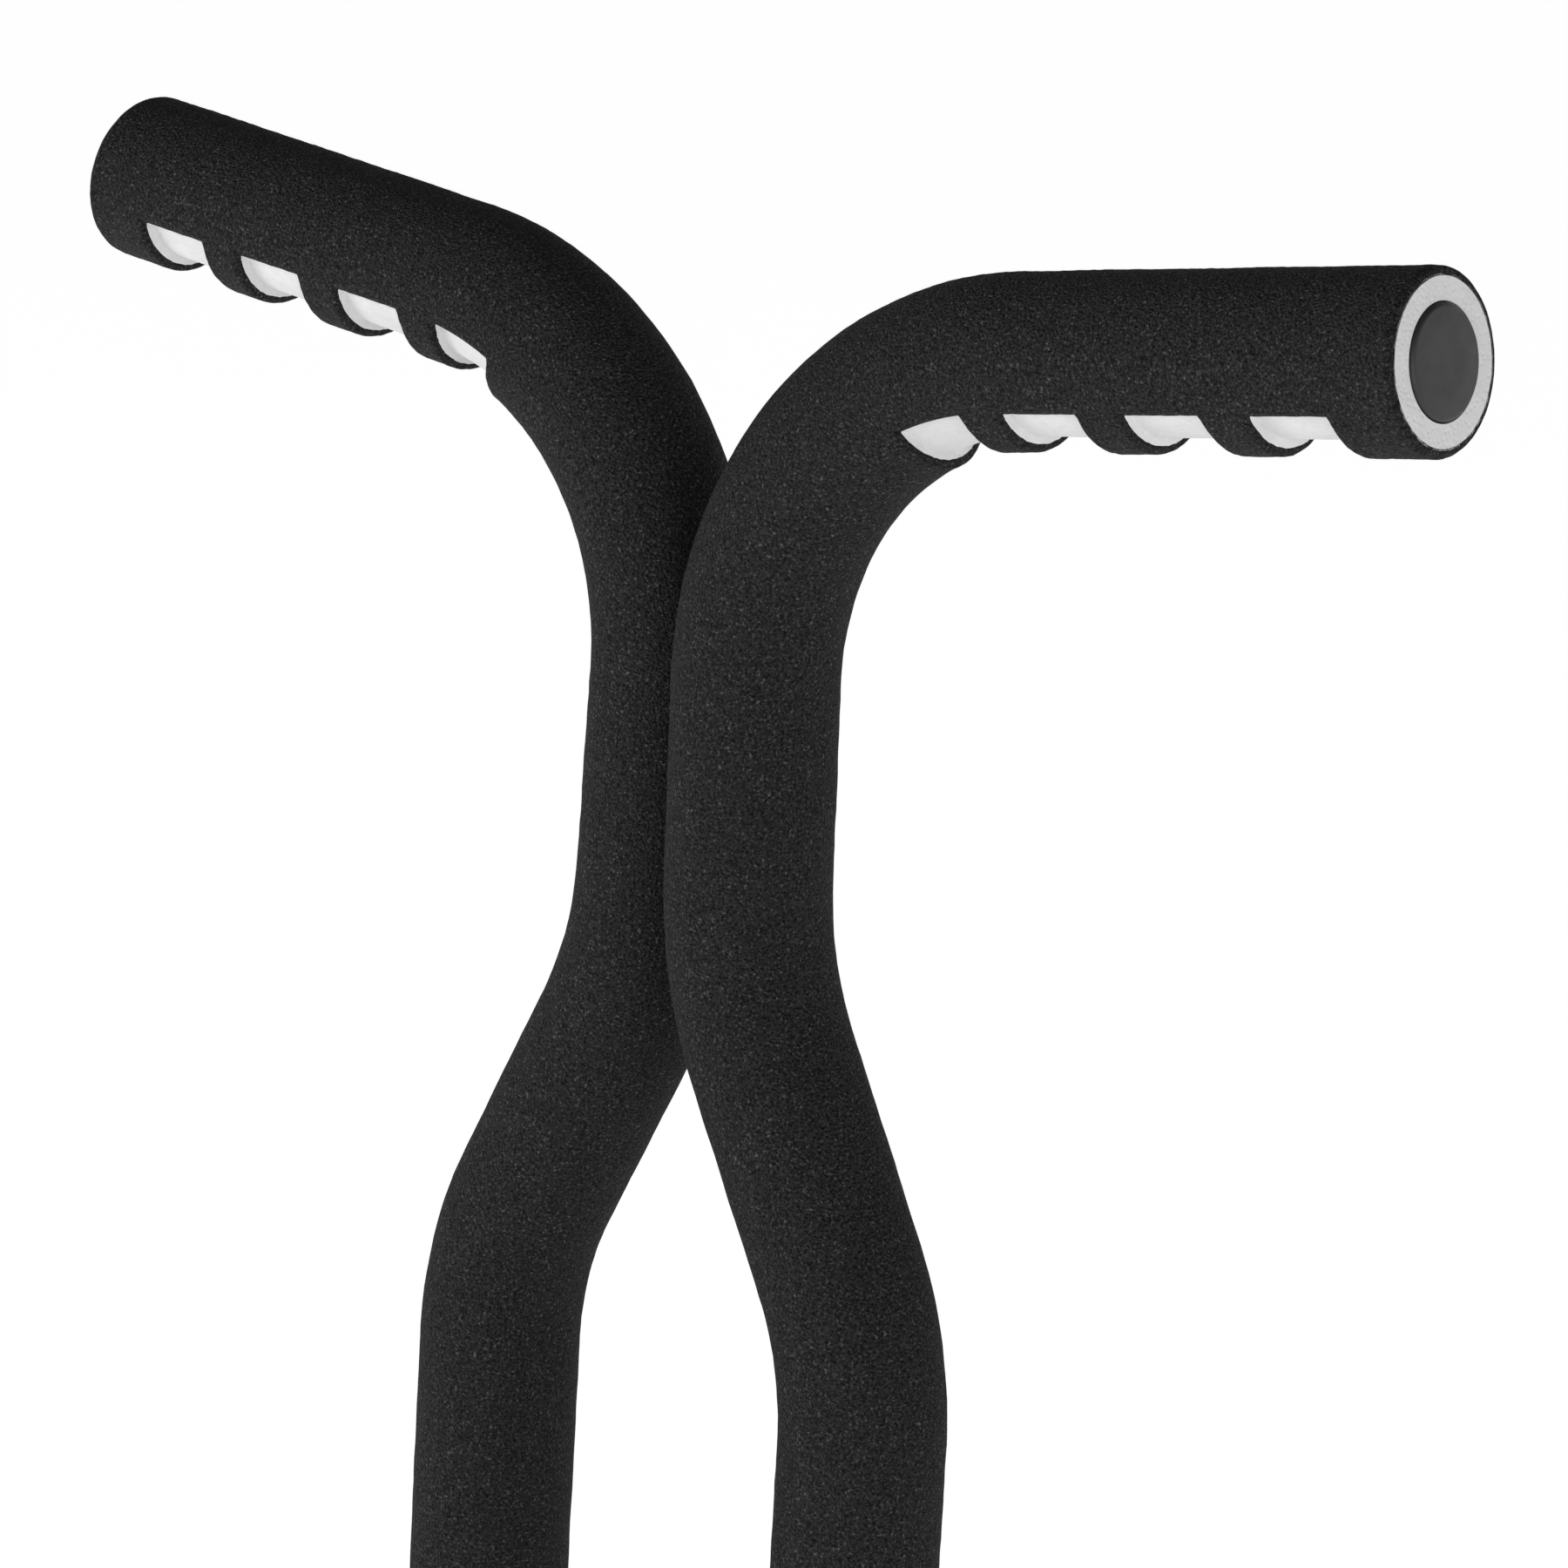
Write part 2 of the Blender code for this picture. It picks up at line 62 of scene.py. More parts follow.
LEFT_BAR_DROP = 0.0048

TUBE_BORE = 0.0093
TUBE_RADIUS = 0.0111
LINER_RADIUS = 0.0163
SLEEVE_RADIUS = 0.0179
GRIP_SWELL = 0.04
GRIP_LENGTH = 0.175
GAP = 0.0003
CUTTER_EXCESS = 0.010

GROOVES = 4
GROOVE_PITCH = 0.0302
GROOVE_WIDTH = 0.0192
GROOVE_DEPTH = 0.0033
GROOVE_SPAN = math.radians(64)
GROOVE_TURN = math.radians(6.5)
END_LAND = 0.0170

CAP_RADIUS = 0.0115
CAP_THICKNESS = 0.0030
CAP_PROUD = 0.0008
CAP_ROUNDING = 0.0010
PLUG_DEPTH = 0.0150

PLATE_SIZE = (0.210, 0.100, 0.006)
PLATE_CORNER = 0.012
BOLT_SPACING = (0.180, 0.070)
BOLT_HOLE_RADIUS = 0.0045
SOCKET_RADIUS = 0.0170
SOCKET_TOP = 0.0660
BUSH_WALL = 0.0020
BUSH_FLANGE = 0.0020
COLLAR_HEIGHT = 0.0120
COLLAR_SLOT = 0.0020
COLLAR_SCREW_RADIUS = 0.0020
COLLAR_SCREW_HEAD = (0.0030, 0.0030)
COLLAR_SCREW_SEAT = 0.0050
COLLAR_SCREW_REACH = 0.0080
FOAM_CLEARANCE = 0.0040
TUBE_FOOT = 0.0180
WEB_THICKNESS = 0.0060
WEB_HEIGHT = 0.0300
GUSSET_REACH = 0.0240
GUSSET_HEIGHT = 0.0400
GUSSET_THICKNESS = 0.0050
GUSSET_TIP = 0.0040

CLAMP_HEIGHT = 0.0400
STEM_RADIUS = 0.0040
NUT_ACROSS_FLATS = 0.0150
NUT_LENGTH = 0.0080
KNOB_RADIUS = 0.0160
KNOB_LENGTH = 0.0140
KNOB_LOBES = 6
KNOB_WAVE = 0.08
KNOB_WAIST = 0.0040

# ---------------------------------------------------------------- detail of the visible surfaces
FOAM_COLUMNS = 112             # grid columns round the foam
COLUMN_CROWDING = 0.5          # how much closer they stand on the grooves' side
COARSE_ROW = 0.0026            # row spacing on the leg and neck
FINE_ROW = 0.0008              # row spacing on the grip
WALL_ROWS = (-1.3, -0.95, -0.65, -0.4, -0.22, -0.1, 0.0, 0.12, 0.24, 0.38, 0.55, 0.9, 1.3)
MILLIMETRE = 0.001
CLOSEST_ROWS = 0.00004
RIDGE_ROUNDING = 0.0014        # rounding of a ridge's edge
GROOVE_FADE = math.radians(15) # over which a groove runs out round the handle
GROOVE_PAST = math.radians(5)  # how much of that lies past its span's end
WALL_RUN = 0.0004              # how far a groove's wall leans
WALL_WANDER = 0.00025          # how far it strays from straight
END_ROUNDING = 0.0016          # outer edge of the sleeve at the handle's end
FOOT_ROUNDING = 0.0008         # and at the foam's lower end
SLEEVE_OVERLAP = 0.0004        # how deep the sleeve's underside is bonded into the liner
LUMP_SIZE = 0.012              # broad unevenness of the foam
LUMP_HEIGHT = 0.00014
GRAIN_SIZE = 0.0016            # pitted skin
GRAIN_HEIGHT = 0.00011
LINER_GRAIN_HEIGHT = 0.00007
LUMP_SEED, GRAIN_SEED, WANDER_SEED, LINER_SEED = 3.0, 11.0, 29.0, 47.0
END_ROWS = 7
BORE_ROWS = 60
LEG_ROW_STEP = 3               # the liner keeps one row in three where the sleeve hides it
TUBE_COLUMNS = 64
TUBE_ROWS = 260
CENTRELINE_STEPS = 20000
ROUND_STEPS = 96               # facets of a turned piece
SMALL_ROUND_STEPS = 64
HOLE_STEPS = 48
CORNER_STEPS = 16
SAME_POINT = 0.000002
SMOOTH_BELOW = math.radians(38)
EDGE = 0.0006                  # small rounding on metal edges
CAP_DOME = 0.0002
WELD_RADIUS = 0.0026
WELD_RIPPLE = 0.0016           # from one ripple of a bead to the next
WELD_RIPPLE_SHARE = 0.10
WELD_STEPS = 360
WELD_SIDES = 16
THREAD_PITCH = 0.00125
THREAD_DEPTH = 0.00045
THREAD_ROW = 0.00016
THREAD_SLOPE = 2.4
THREAD_CREST = 0.1
THREAD_START = 0.001           # over which the thread rises from the plain tip
STEM_TIP = 0.0030
STEM_COLUMNS = 48
KNOB_COLUMNS = 144
KNOB_HUB = 0.45 * KNOB_RADIUS
KNOB_HUB_GROOVE = (0.0020, 0.0012)   # its width and depth

# ---------------------------------------------------------------- camera and light
CAMERA_YAW = math.radians(45.516)
CAMERA_PITCH = math.radians(11.529)
CAMERA_ROLL = math.radians(3.248)
CAMERA_DISTANCE = 1.3219
CAMERA_TARGET = (0.0177, 0.0052, 0.3402)
CAMERA_LENS = 143.35
FLOOR_SIZE = 60.0
FLOOR_GLOW = 0.80
SKY = (1.02, 0.02)                           # strength at the horizon and overhead
SKY_FADE = (0.05, 0.70)                      # over which heights of the sky it falls
KEY_LIGHT = ((-1.3, -1.6, 0.30), 1.2, 20)    # place, size and watts
FILL_LIGHT = ((2.0, -1.0, 0.45), 1.0, 9)
AIM = Vector((0.0, 0.0, 0.30))

TO_X = Matrix.Rotation(math.pi / 2, 4, "Y")    # turns local +Z to +X


# ---------------------------------------------------------------- centreline of a bar

class Centreline:
    """A bar's bent centreline in its own plane, measured along its length from z = foot."""

    def __init__(self, foot):
        corners = np.array([
            (0, foot),
            (0, BEND_HEIGHT),
            (-NECK_OFFSET, BEND_HEIGHT + NECK_FOOT_RISE),
            (-NECK_OFFSET - NECK_LEAN, BEND_HEIGHT + NECK_TOP_RISE),
            (HANDLE_REACH, BEND_HEIGHT + HANDLE_END_RISE),
        ])
        runs = np.diff(corners, axis=0)
        headings = np.arctan2(runs[:, 1], runs[:, 0])
        turns = np.abs(np.diff(headings))
        tangents = BEND_RADII * np.tan(turns / 2)
        straights = np.hypot(*runs.T) - np.r_[0, tangents] - np.r_[tangents, 0]
        stretches = np.c_[straights[:-1], BEND_RADII * turns].ravel()
        self.breaks = np.cumsum(np.r_[0, stretches, straights[-1]])
        self.headings = np.repeat(headings, 2)
        self.length = self.breaks[-1]
        self.steps = np.linspace(0, self.length, CENTRELINE_STEPS)
        middles = (self.steps[1:] + self.steps[:-1]) / 2
        heading = self.heading(middles)
        step = self.steps[1]
        self.x = corners[0, 0] + np.r_[0, np.cumsum(np.cos(heading))] * step
        self.z = corners[0, 1] + np.r_[0, np.cumsum(np.sin(heading))] * step

    def heading(self, along):
        return np.interp(along, self.breaks, self.headings)

    def around(self, along, angle, radius):
        """Grid of points at a radius round the centreline; angle 0 is the grooves' side."""
        along = np.asarray(along)[:, None]
        heading = self.heading(along)
        out = radius * np.cos(angle)
        x = np.interp(along, self.steps, self.x) + out * np.sin(heading)
        z = np.interp(along, self.steps, self.z) - out * np.cos(heading)
        return np.stack(np.broadcast_arrays(x, radius * np.sin(angle), z), axis=-1)


def foam_foot():
    """Lower end of the right bar's foam."""
    collar_top = SOCKET_TOP + BUSH_FLANGE + COLLAR_HEIGHT + 2 * GAP
    return collar_top + FOAM_CLEARANCE + LEFT_BAR_DROP


def handle_frame():
    """Matrix of the handle's end: local +Z out along the handle, local +X down."""
    rise = HANDLE_END_RISE - NECK_TOP_RISE
    out = Vector((HANDLE_REACH + NECK_OFFSET + NECK_LEAN, 0, rise)).normalized()
    down = Vector((out.z, 0, -out.x))
    turn = Matrix((down, out.cross(down), out)).transposed().to_4x4()
    return Matrix.Translation((HANDLE_REACH, 0, BEND_HEIGHT + HANDLE_END_RISE)) @ turn


# ---------------------------------------------------------------- meshes

def quads(first, second):
    """Faces between rows of vertex numbers that run round a tube."""
    return np.stack([first, np.roll(first, -1, -1), np.roll(second, -1, -1), second], -1).reshape(-1, 4)


def rims(holes, outer, inner):
    """Faces that join an outer grid to an inner one round each hole in them."""
    found = []
    columns = outer.shape[1]
    for (down, across), (start, end) in (
        ((-1, 0), ((0, 0), (0, 1))),
        ((0, 1), ((0, 1), (1, 1))),
        ((1, 0), ((1, 1), (1, 0))),
        ((0, -1), ((1, 0), (0, 0))),
    ):
        beyond = np.zeros_like(holes)
        if down < 0:
            beyond[1:] = holes[:-1]
        elif down > 0:
            beyond[:-1] = holes[1:]
        else:
            beyond = np.roll(holes, -across, axis=1)
        row, column = np.nonzero(holes & ~beyond)
        a = (row + start[0], (column + start[1]) % columns)
        b = (row + end[0], (column + end[1]) % columns)
        found.append(np.stack([outer[a], outer[b], inner[b], inner[a]], -1))
    return np.concatenate(found)


def tube_mesh(name, outside, inside, holes=None):
    """A closed tube from an outer and an inner grid of points, with holes through it where marked."""
    columns = outside.shape[1]
    outer = np.arange(outside.shape[0] * columns).reshape(-1, columns)
    inner = outer.size + np.arange(inside.shape[0] * columns).reshape(-1, columns)
    out_faces = quads(outer[:-1], outer[1:])
    in_faces = quads(inner[1:], inner[:-1])
    faces = [out_faces, in_faces]
    if holes is not None:
        kept = ~holes.ravel()
        faces = [out_faces[kept], in_faces[kept], rims(holes, outer, inner)]
    faces += [quads(inner[0], outer[0]), quads(outer[-1], inner[-1])]
    points = np.concatenate([outside.reshape(-1, 3), inside.reshape(-1, 3)])
    return mesh_of(name, points, np.concatenate(faces))


def mesh_of(name, points, faces):
    mesh = bpy.data.meshes.new(name)
    mesh.from_pydata(points.tolist(), [], faces.tolist())
    body = bmesh.new()
    body.from_mesh(mesh)
    loose = [v for v in body.verts if not v.link_faces]
    bmesh.ops.delete(body, geom=loose, context="VERTS")
    body.to_mesh(mesh)
    body.free()
    return mesh


def eased(corners, steps=6):
    """A closed outline of (x, y, rounding) corners, each rounded by its own radius."""
    outline = []
    for before, corner, after in zip(corners[-1:] + corners, corners, corners[1:] + corners[:1]):
        here = Vector(corner[:2])
        into = (here - Vector(before[:2])).normalized()
        out = (Vector(after[:2]) - here).normalized()
        turn = into.angle(out)
        if corner[2] == 0 or turn == 0:
            outline.append(here)
            continue
        start = here - into * corner[2] * math.tan(turn / 2)
        side = (out - into * into.dot(out)).normalized()
        for i in range(steps + 1):
            a = turn * i / steps
            outline.append(start + corner[2] * (side * (1 - math.cos(a)) + into * math.sin(a)))
    return outline


def clean_mesh(body, name):
    bmesh.ops.remove_doubles(body, verts=body.verts, dist=SAME_POINT)
    bmesh.ops.recalc_face_normals(body, faces=body.faces)
    mesh = bpy.data.meshes.new(name)
    body.to_mesh(mesh)
    body.free()
    return mesh


def turned(name, corners, sides=ROUND_STEPS):
    """A body turned about local Z from (radius, height, rounding) corners."""
    body = bmesh.new()
    ring = [body.verts.new((max(r, 0), 0, z)) for r, z in eased(corners)]
    edges = [body.edges.new(pair) for pair in zip(ring, ring[1:] + ring[:1])]
    bmesh.ops.spin(
        body, geom=ring + edges, cent=(0, 0, 0), axis=(0, 0, 1),
        angle=2 * math.pi, steps=sides, use_merge=True,
    )
    bmesh.ops.remove_doubles(body, verts=body.verts, dist=SAME_POINT)
    inside = [f for f in body.faces if all(abs(v.co.x) + abs(v.co.y) < 1e-6 for v in f.verts)]
    bmesh.ops.delete(body, geom=inside, context="FACES")
    return clean_mesh(body, name)


def cylinder(name, radius, low, high, sides=ROUND_STEPS):
    return turned(name, [(0, high, 0), (radius, high, 0), (radius, low, 0), (0, low, 0)], sides)


def extruded(name, outline, low, high):
    """A prism with the (x, y) outline, from z = low to z = high."""
    body = bmesh.new()
    face = body.faces.new([body.verts.new((x, y, low)) for x, y in outline])
    raised = bmesh.ops.extrude_face_region(body, geom=[face])["geom"]
    moved = [v for v in raised if isinstance(v, bmesh.types.BMVert)]
    bmesh.ops.translate(body, verts=moved, vec=(0, 0, high - low))
    return clean_mesh(body, name)


def combined(mesh, operation, *others):
    """The mesh after a Boolean with each (mesh, matrix) in turn."""
    for other_mesh, place in others:
        target = bpy.data.objects.new(mesh.name, mesh)
        other = bpy.data.objects.new(other_mesh.name, other_mesh)
        for obj in (target, other):
            bpy.context.scene.collection.objects.link(obj)
        other.matrix_world = place
        modifier = target.modifiers.new("shape", "BOOLEAN")
        modifier.operation = operation
        modifier.solver = "EXACT"
        modifier.object = other
        bpy.context.view_layer.update()
        graph = bpy.context.evaluated_depsgraph_get()
        body = bmesh.new()
        body.from_mesh(bpy.data.meshes.new_from_object(target.evaluated_get(graph)))
        mesh = clean_mesh(body, mesh.name)
        bpy.data.objects.remove(target)
        bpy.data.objects.remove(other)
    return mesh


def bevelled(mesh, width, segments=3):
    """The mesh with its sharp edges rounded."""
    obj = bpy.data.objects.new(mesh.name, mesh)
    bpy.context.scene.collection.objects.link(obj)
    modifier = obj.modifiers.new("edges", "BEVEL")
    modifier.width = width
    modifier.segments = segments
    modifier.limit_method = "ANGLE"
    modifier.angle_limit = SMOOTH_BELOW
    bpy.context.view_layer.update()
    graph = bpy.context.evaluated_depsgraph_get()
    made = bpy.data.meshes.new_from_object(obj.evaluated_get(graph))
    bpy.data.objects.remove(obj)
    return made


def rough(points, size, seed):
    """Smooth noise from about -1 to 1 at each point of a grid, in lumps of this size."""
    flat = points.reshape(-1, 3) / size + seed
    return np.array([noise.noise(p) for p in flat.tolist()]).reshape(points.shape[:-1])


# ---------------------------------------------------------------- foam

def swell(back):
    """Radius factor at a distance back from the handle's end."""
    return 1 + GRIP_SWELL * np.clip(1 - back / GRIP_LENGTH, 0, 1)


def groove_depths(radius, angle):
    """How deep the grooves are below this radius, in a direction round the handle."""
    floor = SLEEVE_RADIUS * (1 + GRIP_SWELL / 2) - GROOVE_DEPTH
    aside = np.abs((angle - GROOVE_TURN + math.pi) % (2 * math.pi) - math.pi)
    share = np.clip((GROOVE_SPAN + GROOVE_PAST - aside) / GROOVE_FADE, 0, 1)
    return (radius - floor) * share * share * (3 - 2 * share)


def groove_walls():
    """Distances back from the handle's end of every groove's two walls."""
    starts = END_LAND + GROOVE_PITCH * np.arange(GROOVES)
    return np.sort(np.r_[starts, starts + GROOVE_WIDTH])


def grooved(radius, back, angle, wander):
    """The radius with the finger grooves taken out of it, their walls straying by wander."""
    depth = groove_depths(radius, angle)
    middles = END_LAND + GROOVE_WIDTH / 2 + GROOVE_PITCH * np.arange(GROOVES)
    nearest = middles[np.argmin(np.abs(back[..., None] - middles), axis=-1)]
    ridge = np.abs(back - nearest) - GROOVE_WIDTH / 2 + wander
    rounding = np.minimum(RIDGE_ROUNDING, depth)
    on_edge = np.clip(1 - ridge / RIDGE_ROUNDING, 0, 1)
    edge_drop = rounding * (1 - np.sqrt(1 - on_edge**2))
    wall_drop = rounding + (depth - rounding) * np.clip(-ridge / WALL_RUN, 0, 1)
    return radius - np.where(ridge > 0, edge_drop, wall_drop)


def rounded_ends(radius, back, length):
    """The radius with the foam's two outer end edges rounded off."""
    for distance, rounding in ((back, END_ROUNDING), (length - back, FOOT_ROUNDING)):
        short = np.clip(1 - distance / rounding, 0, 1)
        radius = radius - rounding * (1 - np.sqrt(1 - short**2))
    return radius


def foam_rows(length):
    """Distances along the foam: close together on the grip, closest at walls and ends."""
    grip = groove_walls()[-1] + RIDGE_ROUNDING
    near = np.array(WALL_ROWS) * MILLIMETRE
    ends = END_ROUNDING * (1 - np.cos(np.linspace(0, math.pi / 2, END_ROWS)))
    backs = np.concatenate([
        np.arange(grip, length, COARSE_ROW),
        np.arange(0, grip, FINE_ROW),
        (groove_walls()[:, None] + near).ravel(),
        ends,
        length - ends / 2,
        [length],
    ])
    along = length - np.sort(backs)[::-1]
    keep = np.r_[True, np.diff(along) > CLOSEST_ROWS]
    keep[-1] = True
    return along[keep]


def foam_angles():
    """Directions round the foam, closer together on the grooves' side."""
    even = np.linspace(-math.pi, math.pi, FOAM_COLUMNS, endpoint=False)
    return even - COLUMN_CROWDING * np.sin(even)


def foam_meshes():
    """Meshes of the black sleeve and the white liner of one bar, in the bar's own frame."""
    line = Centreline(foam_foot())
    along = foam_rows(line.length)
    angle = foam_angles()
    back = (line.length - along)[:, None] + 0 * angle
    smooth = line.around(along, angle, SLEEVE_RADIUS)
    lumps = LUMP_HEIGHT * rough(smooth, LUMP_SIZE, LUMP_SEED)
    grain = GRAIN_HEIGHT * rough(smooth, GRAIN_SIZE, GRAIN_SEED)
    wander = WALL_WANDER * rough(smooth, LUMP_SIZE / 2, WANDER_SEED)

    bond = LINER_RADIUS * swell(back)
    skin = SLEEVE_RADIUS * swell(back) + lumps + grain
    cut = grooved(skin, back, angle, wander)
    skin = rounded_ends(cut, back, line.length)
    floor = cut + LINER_GRAIN_HEIGHT * rough(smooth, GRAIN_SIZE, LINER_SEED)
    liner = np.minimum(bond, floor)
    away_from_ends = (back > END_ROUNDING) & (back < line.length - FOOT_ROUNDING)
    under = (floor < bond) & away_from_ends
    skin = np.where(under, np.minimum(skin, 2 * floor - bond), skin)
    holes = under[:-1] & under[1:]
    holes &= np.roll(holes, -1, axis=1)
    bottom = np.minimum(bond, skin) - SLEEVE_OVERLAP

    sleeve = tube_mesh(
        "foam_sleeve", line.around(along, angle, skin), line.around(along, angle, bottom), holes,
    )
    seat = line.length - CAP_THICKNESS - GAP
    bored = np.r_[np.linspace(0, seat, BORE_ROWS), seat + CLOSEST_ROWS, line.length]
    bores = np.where(bored > seat, CAP_RADIUS, TUBE_RADIUS)[:, None] + GAP + 0 * angle
    grip = back[:, 0] < groove_walls()[-1] + GROOVE_PITCH
    keep = grip | (np.arange(len(along)) % LEG_ROW_STEP == 0)
    keep[0] = True
    liner_mesh = tube_mesh(
        "foam_liner",
        line.around(along[keep], angle, liner[keep]),
        line.around(bored, angle, bores),
    )
    return sleeve, liner_mesh


# ---------------------------------------------------------------- steel and plastic pieces of a bar

def tube_piece():
    """The bent steel tube, open at both ends, with its end edges rounded."""
    line = Centreline(TUBE_FOOT)
    last = line.length - CAP_THICKNESS
    along = np.r_[0, EDGE / 3, EDGE, np.linspace(2 * EDGE, last - 2 * EDGE, TUBE_ROWS), last - EDGE, last]
    angle = np.linspace(-math.pi, math.pi, TUBE_COLUMNS, endpoint=False)
    from_end = np.minimum(along, last - along)
    short = np.clip(1 - from_end / EDGE, 0, 1)
    outside = TUBE_RADIUS - EDGE * (1 - np.sqrt(1 - short**2))
    inside = TUBE_BORE + 0 * outside
    return tube_mesh(
        "tube",
        line.around(along, angle, outside[:, None] + 0 * angle),
        line.around(along, angle, inside[:, None] + 0 * angle),
    )


def cap_piece():
    """The handle's cap: a slightly domed disc with a round rim and a plug inside the tube."""
    under = GAP - CAP_THICKNESS
    plug = TUBE_BORE - 2 * GAP
    return turned("handle_cap", [
        (0, CAP_PROUD + CAP_DOME, 0),
        (0.5 * CAP_RADIUS, CAP_PROUD + 0.75 * CAP_DOME, 0.03),
        (CAP_RADIUS, CAP_PROUD, CAP_ROUNDING),
        (CAP_RADIUS, under, 0.0003),
        (plug, under, 0),
        (plug, under - PLUG_DEPTH, EDGE),
        (0, under - PLUG_DEPTH, 0),
    ])


def foot_plug_piece():
    plug = TUBE_BORE - 2 * GAP
    low = TUBE_FOOT - GAP - CAP_THICKNESS
    return turned("foot_plug", [
        (0, TUBE_FOOT + PLUG_DEPTH, 0),
        (plug, TUBE_FOOT + PLUG_DEPTH, EDGE),
        (plug, TUBE_FOOT - GAP, 0),
        (TUBE_RADIUS, TUBE_FOOT - GAP, 0.0002),
        (TUBE_RADIUS, low, CAP_ROUNDING),
        (0, low, 0),
    ])


def collar_low():
    return SOCKET_TOP + BUSH_FLANGE + 2 * GAP


def collar_screw_place():
    offset = (TUBE_RADIUS + GAP + SOCKET_RADIUS) / 2
    return Matrix.Translation((0, -offset, collar_low() + COLLAR_HEIGHT / 2)) @ TO_X


def collar_piece():
    """The split collar: chamfered ring, slot, and the screw's hole and well."""
    low = collar_low()
    high = low + COLLAR_HEIGHT
    inner = TUBE_RADIUS + GAP
    ring = turned("height_collar", [
        (inner, low, EDGE / 2), (inner, high, EDGE / 2),
        (SOCKET_RADIUS, high, EDGE), (SOCKET_RADIUS, low, EDGE),
    ])
    half, far = COLLAR_SLOT / 2, -2 * SOCKET_RADIUS
    slot = extruded("slot", [(-half, far), (half, far), (half, 0), (-half, 0)], 0, 2 * high)
    tip = -COLLAR_SCREW_REACH - GAP
    hole = cylinder("hole", COLLAR_SCREW_RADIUS + GAP, tip, COLLAR_SCREW_SEAT, HOLE_STEPS)
    well_top = COLLAR_SCREW_SEAT + SOCKET_RADIUS
    well = cylinder("well", COLLAR_SCREW_HEAD[0] + GAP, COLLAR_SCREW_SEAT, well_top, HOLE_STEPS)
    place = collar_screw_place()
    cuts = ((slot, Matrix.Identity(4)), (hole, place), (well, place))
    return combined(ring, "DIFFERENCE", *cuts)


def hexagon(across_flats):
    radius = across_flats / math.sqrt(3)
    corners = [math.radians(60 * i + 30) for i in range(6)]
    return [(radius * math.cos(a), radius * math.sin(a)) for a in corners]


def collar_screw_piece():
    """A socket head screw with a hexagon recess."""
    head, height = COLLAR_SCREW_HEAD
    seat = COLLAR_SCREW_SEAT + GAP
    screw = turned("collar_screw", [
        (0, seat + height, 0), (head, seat + height, 0.0004), (head, seat, 0.0001),
        (COLLAR_SCREW_RADIUS, seat, 0), (COLLAR_SCREW_RADIUS, -COLLAR_SCREW_REACH, 0.0004),
        (0, -COLLAR_SCREW_REACH, 0),
    ], SMALL_ROUND_STEPS)
    recess = extruded("recess", hexagon(head), seat + height / 2, seat + 2 * height)
    return combined(screw, "DIFFERENCE", (recess, Matrix.Identity(4)))


# ---------------------------------------------------------------- base pieces

def plate_piece():
    """The base plate: round corners, four bolt holes, rounded edges."""
    width, depth, thickness = PLATE_SIZE
    x, y = width / 2, depth / 2
    corners = [(x, y), (-x, y), (-x, -y), (x, -y)]
    outline = eased([(a, b, PLATE_CORNER) for a, b in corners], CORNER_STEPS)
    plate = extruded("base_plate", outline, 0, thickness)
    hole = cylinder("hole", BOLT_HOLE_RADIUS, -CUTTER_EXCESS, CUTTER_EXCESS + thickness, SMALL_ROUND_STEPS)
    x, y = BOLT_SPACING[0] / 2, BOLT_SPACING[1] / 2
    places = [Matrix.Translation((a, b, 0)) for a in (-x, x) for b in (-y, y)]
    return bevelled(combined(plate, "DIFFERENCE", *[(hole, p) for p in places]), EDGE)


def stem_hole():
    place = Matrix.Translation((0, 0, CLAMP_HEIGHT)) @ TO_X
    far = SOCKET_RADIUS + CUTTER_EXCESS
    return cylinder("hole", STEM_RADIUS + GAP, 0, far, SMALL_ROUND_STEPS), place


def bush_radius():
    return TUBE_RADIUS + GAP + BUSH_WALL


def socket_piece():
    inner, low = bush_radius() + GAP, PLATE_SIZE[2] + GAP
    ring = turned("socket", [
        (inner, low, 0), (inner, SOCKET_TOP, EDGE / 2),
        (SOCKET_RADIUS, SOCKET_TOP, EDGE), (SOCKET_RADIUS, low, 0),
    ])
    return combined(ring, "DIFFERENCE", stem_hole())


def bush_piece():
    inner, outer = TUBE_RADIUS + GAP, bush_radius()
    low, rim = PLATE_SIZE[2] + 2 * GAP, SOCKET_TOP + GAP
    ring = turned("socket_bush", [
        (inner, low, 0), (inner, rim + BUSH_FLANGE, EDGE / 2), (SOCKET_RADIUS, rim + BUSH_FLANGE, EDGE),
        (SOCKET_RADIUS, rim, EDGE / 3), (outer, rim, 0), (outer, low, 0),
    ])
    return combined(ring, "DIFFERENCE", stem_hole())


def gusset_piece():
    """A triangular rib in the plane x = 0, towards +Y."""
    near, low = SOCKET_RADIUS + GAP, PLATE_SIZE[2] + GAP
    outline = [
        (near, low), (near + GUSSET_REACH, low), (near + GUSSET_REACH, low + GUSSET_TIP),
        (near + GUSSET_TIP, low + GUSSET_HEIGHT), (near, low + GUSSET_HEIGHT),
    ]
    rib = extruded("gusset", outline, -GUSSET_THICKNESS / 2, GUSSET_THICKNESS / 2)
    rib.transform(Matrix(((0, 0, 1, 0), (1, 0, 0, 0), (0, 1, 0, 0), (0, 0, 0, 1))))
    return bevelled(rib, EDGE)


def web_piece():
    reach = LEG_SPACING / 2 - SOCKET_RADIUS - GAP
    half = WEB_THICKNESS / 2
    low = PLATE_SIZE[2] + GAP
    outline = [(-reach, -half), (reach, -half), (reach, half), (-reach, half)]
    return bevelled(extruded("cross_web", outline, low, low + WEB_HEIGHT), EDGE)


